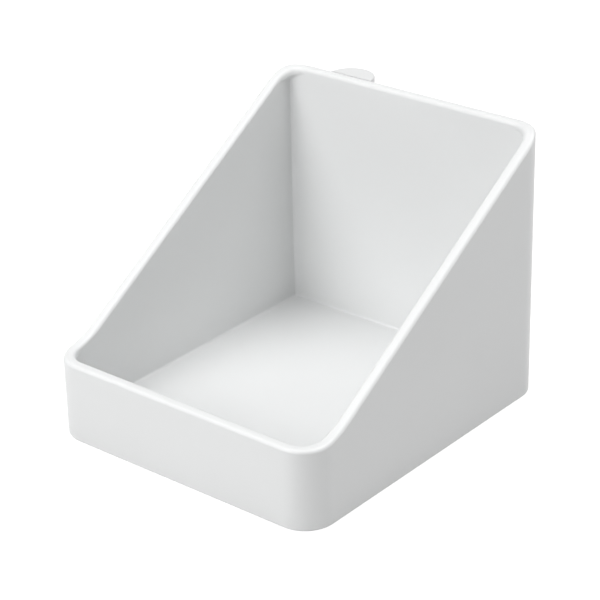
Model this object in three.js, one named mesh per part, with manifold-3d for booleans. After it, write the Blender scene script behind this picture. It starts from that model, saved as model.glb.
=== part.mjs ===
// Pegboard tray: an open moulded bin with sloped sides, hung on a slotted board by two hook clips.
// Millimetres. X runs across the front, Y points at the board, Z is up. The origin is mid-base, underneath.
import * as THREE from 'three';
import { mergeVertices } from 'three/addons/utils/BufferGeometryUtils.js';
import Module from 'manifold-3d';

// Tray outline and walls
const TRAY_WIDTH = 100;
const TRAY_DEPTH = 114;
const FRONT_HEIGHT = 25.9;
const BACK_HEIGHT = 86.7;
const CORNER_RADIUS = 10;
const WALL = 3.7;
const FLOOR = 5;
const INNER_DRAFT_DEG = 0.2;

// Side rims: level round the front corners, a straight climb, level along the back
const CLIMB_START = 11.5; // from the front face to where the side rims begin to climb
const CLIMB_END = 4.5; // from where the side rims end their climb to the rear face
const CLIMB_FOOT_RADIUS = 28;
const CLIMB_CREST_RADIUS = 7.5;

// The rim keeps its width round the corners, over a web in each tight inner corner
const INNER_CORNER_RADIUS = 1.2;
const WEB_TOP = 2; // from the rim down to where the web begins to narrow
const WEB_FOOT = 4.5; // from the rim down to where the web has run out

// Soft edges of the moulding
const RIM_FILLET = 1.2;
const BASE_FILLET = 0.8;
const FLOOR_FILLET = 0.6;

// Board that the tray hangs on
const BOARD_GAP = 3.2; // room between the rails and the hook's lip, for a board of up to 3 mm
const HOOK_PITCH_ACROSS = 50;
const HOOK_PITCH_DOWN = 50;

// Hook clip: a wedge-shaped dovetail foot, a stem, a flat half-round tongue, and a lip behind the board
const HOOK_DROP = 0.4; // from the back rim down to the top of the upper tongue
const TONGUE_WIDTH = 15.3;
const TONGUE_THICKNESS = 4;
const TONGUE_RISE = 3; // from the upper end of the foot to the top of the tongue
const LIP_THICKNESS = 2.2;
const LIP_DEPTH = 8;
const LIP_ROOT_RADIUS = 0.8;
const LIP_NOSE_RADIUS = 1;
const FOOT_WIDTH = 21;
const FOOT_HEIGHT = 14;
const FOOT_THICKNESS = 2;
const DOVETAIL_DEG = 30;
const WEDGE_DEG = 2;

// Sockets on the rear wall
const RAIL_WIDTH = 3.5;
const FIT_GAP = 0.3;

// Facets
const CORNER_STEPS = 10;
const BLEND_STEPS = 5;
const FILLET_STEPS = 3;
const RIM_STEPS = 3;
const ROUND_END_STEPS = 24;
const NOSE_STEPS = 4;

const wasm = await Module();
wasm.setup();

const rad = THREE.MathUtils.degToRad;
const REAR_FACE = TRAY_DEPTH / 2;
const RAIL_PROUD = FOOT_THICKNESS + 2 * FIT_GAP;
const UPPER_TONGUE_TOP = BACK_HEIGHT - HOOK_DROP;

function toSolid(geometry) {
  geometry.deleteAttribute('normal');
  geometry.deleteAttribute('uv');
  const merged = mergeVertices(geometry);
  const mesh = new wasm.Mesh({
    numProp: 3,
    vertProperties: new Float32Array(merged.attributes.position.array),
    triVerts: new Uint32Array(merged.index.array),
  });
  return new wasm.Manifold(mesh);
}

function toGeometry(solid) {
  const mesh = solid.getMesh();
  const geometry = new THREE.BufferGeometry();
  geometry.setAttribute('position', new THREE.BufferAttribute(mesh.vertProperties, 3));
  geometry.setIndex(new THREE.BufferAttribute(mesh.triVerts, 1));
  geometry.computeVertexNormals();
  return geometry;
}

// A skin through rings of equal count, each counter-clockwise from above, with both ends closed by a fan.
function loft(rings) {
  const count = rings[0].length;
  const points = rings.flat();
  const last = (rings.length - 1) * count;
  const faces = [];
  for (let ring = 0; ring + 1 < rings.length; ring++) {
    for (let i = 0; i < count; i++) {
      const a = ring * count + i;
      const b = ring * count + (i + 1) % count;
      faces.push(a, b, b + count, a, b + count, a + count);
    }
  }
  const middle = (ring) => ring.reduce((sum, p) => sum.add(p), new THREE.Vector3()).divideScalar(count);
  const bottom = points.push(middle(rings[0])) - 1;
  const top = points.push(middle(rings.at(-1))) - 1;
  for (let i = 0; i < count; i++) {
    const next = (i + 1) % count;
    faces.push(bottom, next, i);
    faces.push(top, last + i, last + next);
  }
  const geometry = new THREE.BufferGeometry().setFromPoints(points);
  geometry.setIndex(faces);
  return geometry;
}

// Values from one number to another in equal steps, both ends included
function steps(from, to, count) {
  return Array.from({ length: count + 1 }, (_, i) => from + (to - from) * i / count);
}

// Rim height over the side walls, with an arc at the foot and at the crest of the climb
const climbTop = TRAY_DEPTH - CLIMB_END;
const climbAngle = Math.atan2(BACK_HEIGHT - FRONT_HEIGHT, climbTop - CLIMB_START);
const footTangent = CLIMB_FOOT_RADIUS * Math.tan(climbAngle / 2);
const crestTangent = CLIMB_CREST_RADIUS * Math.tan(climbAngle / 2);
const footSpan = [CLIMB_START - footTangent, CLIMB_START + footTangent * Math.cos(climbAngle)];
const crestSpan = [climbTop - crestTangent * Math.cos(climbAngle), climbTop + crestTangent];

function rimHeight(y) {
  const run = y + TRAY_DEPTH / 2;
  if (run <= footSpan[0]) return FRONT_HEIGHT;
  if (run >= crestSpan[1]) return BACK_HEIGHT;
  if (run < footSpan[1]) {
    const past = run - footSpan[0];
    return FRONT_HEIGHT + CLIMB_FOOT_RADIUS - Math.sqrt(CLIMB_FOOT_RADIUS ** 2 - past ** 2);
  }
  if (run > crestSpan[0]) {
    const left = crestSpan[1] - run;
    return BACK_HEIGHT - CLIMB_CREST_RADIUS + Math.sqrt(CLIMB_CREST_RADIUS ** 2 - left ** 2);
  }
  return FRONT_HEIGHT + (run - CLIMB_START) * Math.tan(climbAngle);
}

// Places along the straight sides where the rim bends
const sideStops = [footSpan, crestSpan]
  .flatMap(([from, to]) => steps(from, to, BLEND_STEPS))
  .map((run) => run - TRAY_DEPTH / 2)
  .filter((y) => Math.abs(y) < TRAY_DEPTH / 2 - CORNER_RADIUS - FIT_GAP);

// The rounded rectangle of the tray, moved inwards by inset, counter-clockwise from the front right corner
function outline(inset, radius = CORNER_RADIUS - inset) {
  const points = [];
  const cornerX = TRAY_WIDTH / 2 - inset - radius;
  const cornerY = TRAY_DEPTH / 2 - inset - radius;
  const corner = (signX, signY, startDeg) => {
    for (const angle of steps(rad(startDeg), rad(startDeg + 90), CORNER_STEPS)) {
      const x = signX * cornerX + radius * Math.cos(angle);
      const y = signY * cornerY + radius * Math.sin(angle);
      points.push(new THREE.Vector3(x, y, 0));
    }
  };
  const side = (signX, stops) => {
    for (const y of stops) points.push(new THREE.Vector3(signX * (TRAY_WIDTH / 2 - inset), y, 0));
  };
  corner(1, -1, -90);
  side(1, sideStops);
  corner(1, 1, 0);
  corner(-1, 1, 90);
  side(-1, sideStops.toReversed());
  corner(-1, -1, 180);
  return points;
}

const levelRing = (inset, z, radius) => outline(inset, radius).map((p) => p.setZ(z));
const rimRing = (inset, drop, radius) => outline(inset, radius).map((p) => p.setZ(rimHeight(p.y) - drop));

// The tray shell as one skin: underside, outer wall, over the rim, webs, inner wall, floor
function trayShell() {
  const turn = steps(0, Math.PI / 2, FILLET_STEPS);
  const innerFoot = WALL + (BACK_HEIGHT - FLOOR) * Math.tan(rad(INNER_DRAFT_DEG));
  const underside = turn.map((a) =>
    levelRing(BASE_FILLET * (1 - Math.sin(a)), BASE_FILLET * (1 - Math.cos(a))));
  const rimOutside = turn.map((a) =>
    rimRing(RIM_FILLET * (1 - Math.cos(a)), RIM_FILLET * (1 - Math.sin(a))));
  const rimTop = steps(RIM_FILLET, WALL - RIM_FILLET, RIM_STEPS)
    .slice(1, -1)
    .map((inset) => rimRing(inset, 0));
  const rimInside = turn.map((a) =>
    rimRing(WALL - RIM_FILLET * (1 - Math.sin(a)), RIM_FILLET * (1 - Math.cos(a))));
  const webs = [rimRing(WALL, WEB_TOP), rimRing(WALL, WEB_FOOT, INNER_CORNER_RADIUS)];
  const floorEdge = turn.map((a) => {
    const inset = innerFoot + FLOOR_FILLET * (1 - Math.cos(a));
    return levelRing(inset, FLOOR + FLOOR_FILLET * (1 - Math.sin(a)), INNER_CORNER_RADIUS + WALL - inset);
  });
  return loft([...underside, ...rimOutside, ...rimTop, ...rimInside, ...webs, ...floorEdge]);
}

// Half the width of a clip's foot, at a depth behind the rear wall and a height above the foot's lower end
function footHalfWidth(depth, height) {
  return FOOT_WIDTH / 2 - (depth - FIT_GAP) * Math.tan(rad(DOVETAIL_DEG)) - height * Math.tan(rad(WEDGE_DEG));
}

// A block between two depths behind the rear wall, with its sides given by functions of depth and height
function wedgeBlock(depthFrom, depthTo, leftSide, rightSide) {
  const ring = (height) => [
    new THREE.Vector3(leftSide(depthFrom, height), depthFrom, height),
    new THREE.Vector3(rightSide(depthFrom, height), depthFrom, height),
    new THREE.Vector3(rightSide(depthTo, height), depthTo, height),
    new THREE.Vector3(leftSide(depthTo, height), depthTo, height),
  ];
  return loft([ring(0), ring(FOOT_HEIGHT)]);
}

// The two dovetail rails of one socket, rooted in the middle of the rear wall
function socketRails() {
  const flankGap = FIT_GAP / Math.cos(rad(DOVETAIL_DEG));
  const inner = (depth, height) => footHalfWidth(depth, height) + flankGap;
  const outer = () => FOOT_WIDTH / 2 + flankGap + RAIL_WIDTH;
  const root = -WALL / 2;
  const right = wedgeBlock(root, RAIL_PROUD, inner, outer);
  const left = wedgeBlock(root, RAIL_PROUD, () => -outer(), (depth, height) => -inner(depth, height));
  return [right, left];
}

// The stem, tongue and lip seen from the side, with Y behind the rear wall and Z from the top of the tongue
function hookProfile() {
  const stemBack = FIT_GAP + FOOT_THICKNESS;
  const lipFace = RAIL_PROUD + BOARD_GAP;
  const end = lipFace + LIP_THICKNESS;
  const lipEnd = -TONGUE_THICKNESS - LIP_DEPTH;
  const shape = new THREE.Shape();
  shape.moveTo(FIT_GAP, 0);
  shape.lineTo(FIT_GAP, lipEnd);
  shape.lineTo(stemBack, lipEnd);
  shape.lineTo(stemBack, -TONGUE_THICKNESS);
  const rootY = lipFace - LIP_ROOT_RADIUS;
  const rootZ = -TONGUE_THICKNESS - LIP_ROOT_RADIUS;
  shape.lineTo(rootY, -TONGUE_THICKNESS);
  shape.absarc(rootY, rootZ, LIP_ROOT_RADIUS, Math.PI / 2, 0, true);
  shape.lineTo(lipFace, lipEnd);
  shape.lineTo(end - LIP_NOSE_RADIUS, lipEnd);
  shape.absarc(end - LIP_NOSE_RADIUS, lipEnd + LIP_NOSE_RADIUS, LIP_NOSE_RADIUS, -Math.PI / 2, 0, false);
  shape.lineTo(end, -LIP_NOSE_RADIUS);
  shape.absarc(end - LIP_NOSE_RADIUS, -LIP_NOSE_RADIUS, LIP_NOSE_RADIUS, 0, Math.PI / 2, false);
  shape.closePath();
  return shape;
}

// The tongue seen from above: straight sides and a half-round end
function tonguePlan() {
  const half = TONGUE_WIDTH / 2;
  const centre = RAIL_PROUD + BOARD_GAP + LIP_THICKNESS - half;
  const shape = new THREE.Shape();
  shape.moveTo(-half, 0);
  shape.lineTo(half, 0);
  shape.lineTo(half, centre);
  shape.absarc(0, centre, half, 0, Math.PI, false);
  shape.closePath();
  return shape;
}

// One hook clip at the rear wall, with its foot's lower end at height 0
function hookClip() {
  const across = new THREE.ExtrudeGeometry(hookProfile(), {
    depth: TONGUE_WIDTH, bevelEnabled: false, curveSegments: NOSE_STEPS,
  });
  across.translate(0, 0, -TONGUE_WIDTH / 2);
  across.applyMatrix4(new THREE.Matrix4().makeBasis(
    new THREE.Vector3(0, 1, 0), new THREE.Vector3(0, 0, 1), new THREE.Vector3(1, 0, 0)));
  across.translate(0, 0, FOOT_HEIGHT + TONGUE_RISE);
  const tall = FOOT_HEIGHT + LIP_DEPTH;
  const plan = new THREE.ExtrudeGeometry(tonguePlan(), {
    depth: 2 * tall, bevelEnabled: false, curveSegments: ROUND_END_STEPS,
  });
  plan.translate(0, 0, -tall);
  const hook = toSolid(across).intersect(toSolid(plan));
  const foot = wedgeBlock(FIT_GAP, FIT_GAP + FOOT_THICKNESS, (d, h) => -footHalfWidth(d, h), footHalfWidth);
  return toSolid(foot).add(hook);
}

// A place on the rear wall: column -1 or 1 across, row 0 at the top and 1 below it
function socketPlace(column, row) {
  const footEnd = UPPER_TONGUE_TOP - TONGUE_RISE - FOOT_HEIGHT - row * HOOK_PITCH_DOWN;
  return new THREE.Vector3(column * HOOK_PITCH_ACROSS / 2, REAR_FACE, footEnd);
}

function trayBody() {
  let body = toSolid(trayShell());
  for (const column of [-1, 1]) {
    for (const row of [0, 1]) {
      for (const rail of socketRails()) {
        rail.translate(...socketPlace(column, row));
        body = body.add(toSolid(rail));
      }
    }
  }
  return toGeometry(body);
}

const whiteAbs = { color: 0xe9eae9, roughness: 0.45, metalness: 0 };

function piece(name, geometry) {
  const mesh = new THREE.Mesh(geometry, new THREE.MeshStandardMaterial(whiteAbs));
  mesh.name = name;
  return mesh;
}

function clipPiece(name, column, row) {
  const clip = piece(name, toGeometry(hookClip()));
  clip.position.copy(socketPlace(column, row));
  return clip;
}

const pegboardTray = new THREE.Group();
pegboardTray.add(piece('tray_body', trayBody()));
pegboardTray.add(clipPiece('hook_clip_upper', -1, 0));
pegboardTray.add(clipPiece('hook_clip_lower', 1, 1));

export default pegboardTray;
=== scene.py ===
"""The pegboard tray as it looks: a white moulded bin and its two hook clips, on a white sweep."""
import math

import bmesh
import bpy
from mathutils import Matrix, Vector


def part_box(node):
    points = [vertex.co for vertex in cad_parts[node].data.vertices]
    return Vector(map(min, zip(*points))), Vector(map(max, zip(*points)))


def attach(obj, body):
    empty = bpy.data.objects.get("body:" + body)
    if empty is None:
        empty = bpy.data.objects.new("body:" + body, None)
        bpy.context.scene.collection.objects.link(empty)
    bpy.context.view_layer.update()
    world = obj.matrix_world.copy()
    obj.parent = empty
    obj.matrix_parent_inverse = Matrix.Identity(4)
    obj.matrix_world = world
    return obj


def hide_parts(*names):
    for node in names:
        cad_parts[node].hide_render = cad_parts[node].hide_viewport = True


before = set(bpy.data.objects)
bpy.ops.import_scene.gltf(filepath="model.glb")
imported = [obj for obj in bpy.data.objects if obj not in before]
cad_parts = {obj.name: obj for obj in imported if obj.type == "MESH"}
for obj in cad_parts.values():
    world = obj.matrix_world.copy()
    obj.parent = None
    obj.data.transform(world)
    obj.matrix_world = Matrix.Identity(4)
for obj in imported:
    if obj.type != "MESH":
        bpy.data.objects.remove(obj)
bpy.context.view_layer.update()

MM = 0.001

# Sizes read from the frame
tray_low, tray_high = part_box("tray_body")
upper_low, upper_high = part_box("hook_clip_upper")
lower_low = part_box("hook_clip_lower")[0]
WIDTH = tray_high.x - tray_low.x
HEIGHT = tray_high.z
FRONT_FACE = tray_low.y
CLIP_TOP = upper_high.z
CLIP_HEIGHT = upper_high.z - upper_low.z
CLIP_WIDTH = upper_high.x - upper_low.x
CLIP_END = upper_high.y
CLIP_COLUMN = (upper_low.x + upper_high.x) / 2
FOOT_FACE = upper_low.y

# Tray walls
FIT_GAP = 0.3 * MM
REAR_FACE = FOOT_FACE - FIT_GAP
RAIL_PROUD = tray_high.y - REAR_FACE
WALL = 3.7 * MM
FLOOR = 5 * MM
FRONT_HEIGHT = 25.9 * MM
INNER_LEAN = 0.29 * MM  # how far the inner walls come in on their way down to the floor
CORNER_RADIUS = 10 * MM
INNER_CORNER_RADIUS = 0.9 * MM
WEB_TOP = 2 * MM  # below the rim, where the web in an inner corner begins to narrow
WEB_FOOT = 4.5 * MM  # below the rim, where the web has run out

# Side rims: level round the front corners, an arc, a straight climb, an arc, level along the back
CLIMB_START = FRONT_FACE + 11.5 * MM
CLIMB_END = REAR_FACE - 4.5 * MM
CLIMB_FOOT_RADIUS = 28 * MM
CLIMB_CREST_RADIUS = 7.5 * MM
CLIMB_ANGLE = math.atan2(HEIGHT - FRONT_HEIGHT, CLIMB_END - CLIMB_START)
CLIMB_FOOT_BEGIN = CLIMB_START - CLIMB_FOOT_RADIUS * math.tan(CLIMB_ANGLE / 2)
CLIMB_FOOT_SPAN = CLIMB_FOOT_RADIUS * math.sin(CLIMB_ANGLE)
CLIMB_CREST_FINISH = CLIMB_END + CLIMB_CREST_RADIUS * math.tan(CLIMB_ANGLE / 2)
CLIMB_CREST_SPAN = CLIMB_CREST_RADIUS * math.sin(CLIMB_ANGLE)

# Soft edges of the moulding; the floor's fillet stays below the inner corners' radius
RIM_FILLET = 1.2 * MM
BASE_FILLET = 0.8 * MM
FLOOR_FILLET = 0.8 * MM
SMALL_EDGE = 0.45 * MM
CORNER_SEGMENTS = 24
BEND_SEGMENTS = 10
FILLET_SEGMENTS = 5
SMALL_SEGMENTS = 3
SHARP_ANGLE = math.radians(35)

# Hook clips and their sockets
TONGUE_WIDTH = 15.3 * MM
TONGUE_THICKNESS = 4 * MM
TONGUE_RISE = 3 * MM
NOSE_FLAT = 0.03 * MM  # left on each side of the middle, so that the nose's two bevels don't meet
LIP_THICKNESS = 2.2 * MM
LIP_DEPTH = 8 * MM
LIP_ROOT_RADIUS = 0.8 * MM
FOOT_HEIGHT = CLIP_HEIGHT - TONGUE_RISE
FOOT_THICKNESS = RAIL_PROUD - 2 * FIT_GAP
DOVETAIL_SLOPE = math.tan(math.radians(30))
WEDGE_SLOPE = math.tan(math.radians(2))
RAIL_WIDTH = 3.5 * MM

# Modelling aids
CUT_MARGIN = 5 * MM  # how far a cutting block stands past what it cuts
REACH = 0.01 * MM  # places closer than this count as the same
ALIGNED = 0.99  # an edge counts as upright from this share of its length
FACING_DOWN = -0.9


# Modelling steps
def deselect():
    bpy.ops.object.select_all(action="DESELECT")


def work_on(piece):
    deselect()
    piece.select_set(True)
    bpy.context.view_layer.objects.active = piece


def block(name, low, high):
    """A cube stretched between two corners, with its place in its mesh."""
    low, high = Vector(low), Vector(high)
    deselect()
    bpy.ops.mesh.primitive_cube_add(size=1, location=(low + high) / 2)
    piece = bpy.context.object
    piece.name = name
    piece.scale = high - low
    bpy.ops.object.transform_apply(location=True, rotation=True, scale=True)
    return piece


def pick(piece, edges=None, verts=None, faces=None):
    """Goes into edit mode with only those edges, vertices or faces selected that pass the test."""
    work_on(piece)
    bpy.ops.object.mode_set(mode="EDIT")
    bpy.ops.mesh.select_mode(type="VERT" if verts else "EDGE" if edges else "FACE")
    bpy.ops.mesh.select_all(action="DESELECT")
    form = bmesh.from_edit_mesh(piece.data)
    chosen = form.verts if verts else form.edges if edges else form.faces
    test = verts or edges or faces
    for element in [e for e in chosen if test(e)]:
        element.select_set(True)
    bmesh.update_edit_mesh(piece.data)


def done():
    bpy.ops.object.mode_set(mode="OBJECT")


def near(a, b):
    return abs(a - b) < REACH


def middle(edge):
    return (edge.verts[0].co + edge.verts[1].co) / 2


def upright(edge):
    span = edge.verts[1].co - edge.verts[0].co
    return abs(span.z) > ALIGNED * span.length


def level_at(edge, height):
    return all(near(vert.co.z, height) for vert in edge.verts)


def round_edges(piece, width, segments, test):
    pick(piece, edges=test)
    bpy.ops.mesh.bevel(offset=width, offset_type="OFFSET", segments=segments, affect="EDGES",
                       clamp_overlap=False)
    done()


def part_at(piece, spot, normal, test):
    """Cuts new edges into the faces that pass the test, along a plane."""
    pick(piece, faces=test)
    bpy.ops.mesh.bisect(plane_co=spot, plane_no=normal)
    done()


def shift(piece, move, test):
    pick(piece, verts=test)
    bpy.ops.transform.translate(value=move)
    done()


def shift_each(piece, move_of):
    """Shifts every vertex by what the given function says, all those with the same move at once."""
    groups = {}
    for vert in piece.data.vertices:
        move = tuple(round(part, 6) for part in move_of(vert))
        groups.setdefault(move, set()).add(vert.index)
    for move, members in groups.items():
        if any(move):
            shift(piece, move, lambda vert: vert.index in members)


def combine(piece, other, operation):
    """Joins the other solid to the piece, or cuts it out, and takes the other away."""
    work_on(piece)
    step = piece.modifiers.new("combine", "BOOLEAN")
    step.operation = operation
    step.solver = "EXACT"
    step.object = other
    bpy.ops.object.modifier_apply(modifier=step.name)
    bpy.data.objects.remove(other)


def copy_of(piece, name, move):
    """A second piece with its own mesh, set down elsewhere."""
    twin = piece.copy()
    twin.data = piece.data.copy()
    twin.name = name
    twin.data.transform(Matrix.Translation(move))
    bpy.context.collection.objects.link(twin)
    return twin


def smooth(piece):
    """Shades the curves smooth and keeps the flat faces flat."""
    work_on(piece)
    bpy.ops.object.shade_smooth_by_angle(angle=SHARP_ANGLE)
    step = piece.modifiers.new("even_normals", "WEIGHTED_NORMAL")
    step.keep_sharp = True
    bpy.ops.object.modifier_apply(modifier=step.name)


# The tray
def rounded_block(name, low, high, radius):
    piece = block(name, low, high)
    round_edges(piece, radius, CORNER_SEGMENTS, upright)
    return piece


def cavity_core():
    """The space inside the walls: wide corners at the rim, webs down to tight ones, a floor fillet."""
    half, top = WIDTH / 2 - WALL, HEIGHT + CUT_MARGIN
    front, rear = FRONT_FACE + WALL, REAR_FACE - WALL
    wide = CORNER_RADIUS - WALL
    core = rounded_block("cavity_core", (-half, front, FLOOR), (half, rear, top), wide)
    for drop in (WEB_TOP, WEB_FOOT):
        part_at(core, (0, 0, HEIGHT - drop), (0, 0, 1), lambda face: True)

    def tighten(vert):
        """Moves a corner's vertex below the web out to the tight radius."""
        past_x = abs(vert.co.x) - (half - wide)
        past_y = abs(vert.co.y - (front + rear) / 2) - ((rear - front) / 2 - wide)
        if vert.co.z > HEIGHT - (WEB_TOP + WEB_FOOT) / 2 or min(past_x, past_y) < 0:
            return (0, 0, 0)
        slack = 1 - INNER_CORNER_RADIUS / wide
        return (math.copysign(slack * (wide - past_x), vert.co.x),
                math.copysign(slack * (wide - past_y), vert.co.y - (front + rear) / 2), 0)

    shift_each(core, tighten)
    pick(core, faces=lambda face: face.normal.z < FACING_DOWN)
    bpy.ops.transform.resize(value=(1 - INNER_LEAN / half, 1 - 2 * INNER_LEAN / (rear - front), 1),
                             center_override=(0, (front + rear) / 2, FLOOR))
    done()
    round_edges(core, FLOOR_FILLET, FILLET_SEGMENTS, lambda edge: level_at(edge, FLOOR))
    return core


def rim_edge(edge):
    return level_at(edge, HEIGHT) and edge.calc_face_angle(0) > SHARP_ANGLE


def in_rim(vert):
    return vert.co.z > HEIGHT / 2


def rim_height(y):
    """The rim's height along the side walls: level, an arc, the straight climb, an arc, level again."""
    if y <= CLIMB_FOOT_BEGIN:
        return FRONT_HEIGHT
    if y >= CLIMB_CREST_FINISH:
        return HEIGHT
    past, left = y - CLIMB_FOOT_BEGIN, CLIMB_CREST_FINISH - y
    if past < CLIMB_FOOT_SPAN:
        return FRONT_HEIGHT + CLIMB_FOOT_RADIUS - math.sqrt(CLIMB_FOOT_RADIUS ** 2 - past ** 2)
    if left < CLIMB_CREST_SPAN:
        return HEIGHT - CLIMB_CREST_RADIUS + math.sqrt(CLIMB_CREST_RADIUS ** 2 - left ** 2)
    return FRONT_HEIGHT + (y - CLIMB_START) * math.tan(CLIMB_ANGLE)


def climb(body):
    """Parts the walls where the rim bends, then brings each slice of the level rim down to its height."""
    side = WIDTH / 2 - CORNER_RADIUS
    cuts = [((x, 0, 0), (1, 0, 0)) for x in (-side, side)]
    for i in range(BEND_SEGMENTS + 1):
        cuts.append(((0, CLIMB_FOOT_BEGIN + CLIMB_FOOT_SPAN * i / BEND_SEGMENTS, 0), (0, 1, 0)))
        cuts.append(((0, CLIMB_CREST_FINISH - CLIMB_CREST_SPAN * i / BEND_SEGMENTS, 0), (0, 1, 0)))
    for spot, normal in cuts:
        part_at(body, spot, normal, lambda face: any(in_rim(vert) for vert in face.verts))
    shift_each(body, lambda vert: (0, 0, rim_height(vert.co.y) - HEIGHT if in_rim(vert) else 0))


def rail(side, centre, foot_end):
    """One dovetail rail, rooted in the rear wall, whose inner flank keeps the gap to the foot."""
    root, crown = REAR_FACE - WALL / 2, REAR_FACE + RAIL_PROUD
    flank_gap = FIT_GAP * math.hypot(1, DOVETAIL_SLOPE)
    inner = CLIP_WIDTH / 2 + flank_gap + (FOOT_FACE - root) * DOVETAIL_SLOPE
    outer = CLIP_WIDTH / 2 + flank_gap + RAIL_WIDTH
    ends = sorted((centre + side * inner, centre + side * outer))
    piece = block("rail", (ends[0], root, foot_end), (ends[1], crown, foot_end + FOOT_HEIGHT))

    def inner_flank(vert):
        return side * (vert.co.x - centre) < (inner + outer) / 2

    shift(piece, (-side * (crown - root) * DOVETAIL_SLOPE, 0, 0),
          lambda vert: inner_flank(vert) and vert.co.y > REAR_FACE)
    shift(piece, (-side * FOOT_HEIGHT * WEDGE_SLOPE, 0, 0),
          lambda vert: inner_flank(vert) and vert.co.z > foot_end + FOOT_HEIGHT / 2)
    round_edges(piece, SMALL_EDGE, SMALL_SEGMENTS, lambda edge: middle(edge).y > REAR_FACE - WALL / 4)
    return piece


def tray():
    """The bin: a rounded block, hollowed out, its rim softened and brought down, with its rails."""
    half = WIDTH / 2
    body = rounded_block("tray", (-half, FRONT_FACE, 0), (half, REAR_FACE, HEIGHT), CORNER_RADIUS)
    round_edges(body, BASE_FILLET, FILLET_SEGMENTS, lambda edge: level_at(edge, 0))
    combine(body, cavity_core(), "DIFFERENCE")
    round_edges(body, RIM_FILLET, FILLET_SEGMENTS, rim_edge)
    climb(body)
    for centre in (CLIP_COLUMN, -CLIP_COLUMN):
        for foot_end in (upper_low.z, lower_low.z):
            for side in (-1, 1):
                combine(body, rail(side, centre, foot_end), "UNION")
    return body


# The hook clips
def dovetail_foot(name, centre, foot_end):
    """The clip's foot: a plate that narrows away from the wall and upwards."""
    half = CLIP_WIDTH / 2
    foot = block(name, (centre - half, FOOT_FACE, foot_end),
                 (centre + half, FOOT_FACE + FOOT_THICKNESS, foot_end + FOOT_HEIGHT))
    for side in (-1, 1):
        shift(foot, (-side * FOOT_THICKNESS * DOVETAIL_SLOPE, 0, 0),
              lambda vert: side * (vert.co.x - centre) > 0 and vert.co.y > FOOT_FACE + FOOT_THICKNESS / 2)
        shift(foot, (-side * FOOT_HEIGHT * WEDGE_SLOPE, 0, 0),
              lambda vert: side * (vert.co.x - centre) > 0 and vert.co.z > foot_end + FOOT_HEIGHT / 2)
    round_edges(foot, SMALL_EDGE, SMALL_SEGMENTS, lambda edge: True)
    return foot


def hook_clip(name):
    """The upper clip: a half-round tongue with a lip, on a stem and a dovetail foot."""
    half = TONGUE_WIDTH / 2
    tongue_end = CLIP_TOP - TONGUE_THICKNESS
    lip_end = tongue_end - LIP_DEPTH
    lip_face = CLIP_END - LIP_THICKNESS
    clip = block(name, (CLIP_COLUMN - half, FOOT_FACE, lip_end), (CLIP_COLUMN + half, CLIP_END, CLIP_TOP))
    round_edges(clip, half - NOSE_FLAT, 2 * CORNER_SEGMENTS,
                lambda edge: upright(edge) and near(middle(edge).y, CLIP_END))
    round_edges(clip, SMALL_EDGE, SMALL_SEGMENTS,
                lambda edge: not upright(edge) and middle(edge).y > FOOT_FACE + FIT_GAP)
    gap = block("board_gap", (CLIP_COLUMN - WIDTH, FOOT_FACE + FOOT_THICKNESS, lip_end - CUT_MARGIN),
                (CLIP_COLUMN + WIDTH, lip_face, tongue_end))
    round_edges(gap, LIP_ROOT_RADIUS, FILLET_SEGMENTS,
                lambda edge: near(middle(edge).y, lip_face) and near(middle(edge).z, tongue_end))
    combine(clip, gap, "DIFFERENCE")
    combine(clip, dovetail_foot("foot", CLIP_COLUMN, upper_low.z), "UNION")
    return clip


tray_piece = tray()
upper_clip = hook_clip("upper_hook_clip")
lower_clip = copy_of(upper_clip, "lower_hook_clip", lower_low - upper_low)
for shape in (tray_piece, upper_clip, lower_clip):
    smooth(shape)

# Materials
CLOUD_SIZE = 30 * MM
GRAIN_SIZE = 0.5 * MM  # the grain of the mould is about 0.1 mm, drawn coarser so that it shows
GRAIN_DEPTH = 0.1 * MM
GRAIN_STRENGTH = 0.06
ABS_ROUGHNESS = (0.32, 0.42)
ABS_IOR = 1.53
MIX_FIRST, MIX_SECOND, MIX_RESULT = 6, 7, 2  # the colour sockets of a Mix node, whose names repeat


def linear(hex_colour):
    """An sRGB hex colour as the linear red, green, blue and alpha that the nodes take."""
    parts = [int(hex_colour[i:i + 2], 16) / 255 for i in (1, 3, 5)]
    return [c / 12.92 if c <= 0.04045 else ((c + 0.055) / 1.055) ** 2.4 for c in parts] + [1]


def add_node(tree, kind, settings=None, **links):
    """Adds a node, sets its properties and sockets, and links the sockets given a node's output."""
    node = tree.nodes.new(kind)
    for name, value in (settings or {}).items():
        if name in node.inputs:
            node.inputs[name].default_value = value
        else:
            setattr(node, name, value)
    for name, output in links.items():
        tree.links.new(output, node.inputs[name.replace("_", " ")])
    return node


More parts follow.
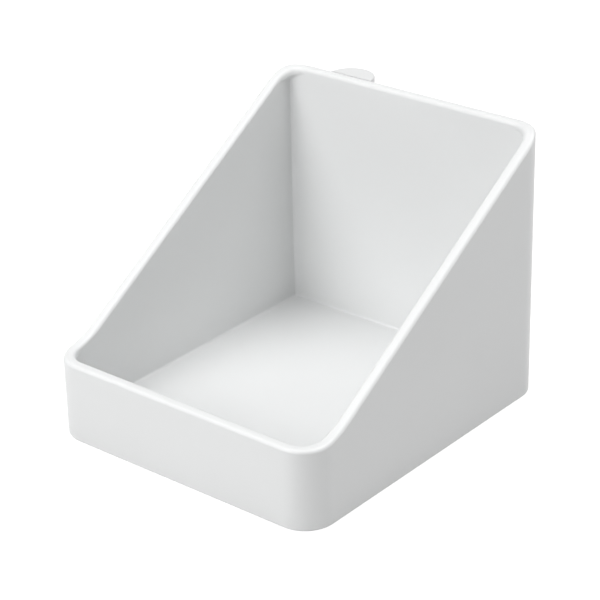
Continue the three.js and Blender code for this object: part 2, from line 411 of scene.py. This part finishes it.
def moulded_abs(name, hex_low, hex_high):
    """White ABS from a spark-grained mould: satin, bright in the light, with a faint unevenness."""
    material = bpy.data.materials.new(name)
    material.use_nodes = True
    tree = material.node_tree
    shader = tree.nodes["Principled BSDF"]
    place = add_node(tree, "ShaderNodeTexCoord").outputs["Object"]
    cloud = add_node(tree, "ShaderNodeTexNoise", {"Scale": 1 / CLOUD_SIZE, "Detail": 2.0}, Vector=place)
    tone = add_node(tree, "ShaderNodeMix", {"data_type": "RGBA"}, Factor=cloud.outputs["Fac"])
    tone.inputs[MIX_FIRST].default_value = linear(hex_low)
    tone.inputs[MIX_SECOND].default_value = linear(hex_high)
    tree.links.new(tone.outputs[MIX_RESULT], shader.inputs["Base Color"])
    grain = add_node(tree, "ShaderNodeTexNoise", {"Scale": 1 / GRAIN_SIZE, "Detail": 3.0}, Vector=place)
    rough = add_node(tree, "ShaderNodeMapRange", {"To Min": ABS_ROUGHNESS[0], "To Max": ABS_ROUGHNESS[1]},
                     Value=grain.outputs["Fac"])
    tree.links.new(rough.outputs["Result"], shader.inputs["Roughness"])
    bump = add_node(tree, "ShaderNodeBump", {"Strength": GRAIN_STRENGTH, "Distance": GRAIN_DEPTH},
                    Height=grain.outputs["Fac"])
    tree.links.new(bump.outputs["Normal"], shader.inputs["Normal"])
    shader.inputs["IOR"].default_value = ABS_IOR
    return material


tray_abs = moulded_abs("white_tray_abs", "#dfe0e0", "#e2e3e3")
# The clips' white is set a little darker than the tray's, which makes the tongues behind the back rim
# show darker than the rim.
clip_abs = moulded_abs("white_clip_abs", "#d9dada", "#dcdddd")
for shape, material in ((tray_piece, tray_abs), (upper_clip, clip_abs), (lower_clip, clip_abs)):
    shape.data.materials.clear()
    shape.data.materials.append(material)

for shape, node, body, slot in ((tray_piece, "tray_body", "tray", "tray_abs"),
                                (upper_clip, "hook_clip_upper", "upper_hook", "clip_abs"),
                                (lower_clip, "hook_clip_lower", "lower_hook", "clip_abs")):
    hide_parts(node)
    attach(shape, body)

# Camera at the photograph's view
CAMERA_AZIMUTH_DEG = 39.99
CAMERA_ELEVATION_DEG = 25.87
CAMERA_ROLL = math.radians(-1.32)
CAMERA_DISTANCE = 644.28 * MM
CAMERA_TARGET = Vector((1.88, -2, 38.44)) * MM
CAMERA_NEAREST = 10 * MM
FOCAL_LENGTH_MM = 129.16
SENSOR_MM = 36


def heading(azimuth_deg, elevation_deg):
    """The direction of a camera or lamp seen from the tray: from the front round to the right, and up."""
    azimuth, elevation = math.radians(azimuth_deg), math.radians(elevation_deg)
    return Vector((math.sin(azimuth) * math.cos(elevation), -math.cos(azimuth) * math.cos(elevation),
                   math.sin(elevation)))


def camera():
    back = heading(CAMERA_AZIMUTH_DEG, CAMERA_ELEVATION_DEG)
    right = Vector((0, 0, 1)).cross(back).normalized()
    up = back.cross(right)
    turned_right = right * math.cos(CAMERA_ROLL) + up * math.sin(CAMERA_ROLL)
    turned_up = up * math.cos(CAMERA_ROLL) - right * math.sin(CAMERA_ROLL)
    data = bpy.data.cameras.new("camera")
    data.lens = FOCAL_LENGTH_MM
    data.sensor_width = SENSOR_MM
    data.clip_start = CAMERA_NEAREST
    view = bpy.data.objects.new("camera", data)
    bpy.context.collection.objects.link(view)
    axes = Matrix((turned_right, turned_up, back)).transposed().to_4x4()
    view.matrix_world = Matrix.Translation(CAMERA_TARGET + back * CAMERA_DISTANCE) @ axes
    bpy.context.scene.camera = view


camera()

# Floor, light and backdrop
FLOOR_SIZE = 6
FLOOR_DROP = 0.05 * MM  # keeps the floor just clear of the tray's base
SWEEP_WHITE = "#c4c4c4"
SWEEP_GLOW = 0.95
SWEEP_SHADOW = 0.25
SURROUND_WHITE = "#ffffff"
SURROUND_LIGHT = 0.145
# name, azimuth and elevation in degrees, distance and width in metres, watts
LAMPS = (("key_softbox", -25, 35, 0.7, 0.4, 1.20),
         ("high_key_softbox", -45, 65, 1.0, 0.6, 1.85),
         ("front_softbox", 0, 20, 1.0, 0.6, 3.66),
         ("top_softbox", 0, 89, 1.0, 0.8, 2.09),
         ("high_rear_softbox", 170, 75, 1.0, 0.6, 1.16),
         ("rear_softbox", 135, 62, 1.0, 0.6, 2.86),
         ("side_softbox", 120, 12, 1.0, 0.6, 2.30))


def seen_directly(tree):
    """1 for rays that show the backdrop itself, in view, in gloss or through glass, 0 for its light."""
    path = add_node(tree, "ShaderNodeLightPath")
    seen = path.outputs["Is Camera Ray"]
    for kind in ("Is Glossy Ray", "Is Transmission Ray"):
        both = add_node(tree, "ShaderNodeMath", {"operation": "MAXIMUM"})
        tree.links.new(seen, both.inputs[0])
        tree.links.new(path.outputs[kind], both.inputs[1])
        seen = both.outputs["Value"]
    return seen


def stage_floor():
    """A white paper sweep: seen as white, with the tray's soft shadow left on it."""
    deselect()
    bpy.ops.mesh.primitive_plane_add(size=FLOOR_SIZE, location=(0, 0, -FLOOR_DROP))
    floor = bpy.context.object
    floor.name = "floor"
    material = bpy.data.materials.new("white_paper_sweep")
    material.use_nodes = True
    tree = material.node_tree
    tree.nodes.remove(tree.nodes["Principled BSDF"])
    paper = add_node(tree, "ShaderNodeBsdfDiffuse", {"Color": linear(SWEEP_WHITE)})
    shadow = add_node(tree, "ShaderNodeBsdfDiffuse", {"Color": [SWEEP_SHADOW] * 3 + [1]})
    glow = add_node(tree, "ShaderNodeEmission", {"Strength": SWEEP_GLOW})
    white = add_node(tree, "ShaderNodeAddShader")
    tree.links.new(shadow.outputs["BSDF"], white.inputs[0])
    tree.links.new(glow.outputs["Emission"], white.inputs[1])
    shown = add_node(tree, "ShaderNodeMixShader", Fac=seen_directly(tree))
    tree.links.new(paper.outputs["BSDF"], shown.inputs[1])
    tree.links.new(white.outputs["Shader"], shown.inputs[2])
    tree.links.new(shown.outputs["Shader"], tree.nodes["Material Output"].inputs["Surface"])
    floor.data.materials.append(material)


def softbox(name, azimuth_deg, elevation_deg, distance, width, watts):
    """A round soft lamp that faces the tray."""
    away = heading(azimuth_deg, elevation_deg)
    data = bpy.data.lights.new(name, "AREA")
    data.shape = "DISK"
    data.size = width
    data.energy = watts
    lamp = bpy.data.objects.new(name, data)
    bpy.context.collection.objects.link(lamp)
    lamp.location = away * distance
    lamp.rotation_euler = away.to_track_quat("Z", "Y").to_euler()


def studio_world():
    """An even white surround, seen as white and giving its own, weaker light."""
    world = bpy.data.worlds.new("studio")
    bpy.context.scene.world = world
    world.use_nodes = True
    tree = world.node_tree
    surround = tree.nodes["Background"]
    strength = add_node(tree, "ShaderNodeMapRange", {"To Min": SURROUND_LIGHT, "To Max": 1.0},
                        Value=seen_directly(tree))
    tree.links.new(strength.outputs["Result"], surround.inputs["Strength"])
    surround.inputs["Color"].default_value = linear(SURROUND_WHITE)


stage_floor()
studio_world()
for lamp in LAMPS:
    softbox(*lamp)
bpy.context.scene.view_settings.view_transform = "Standard"
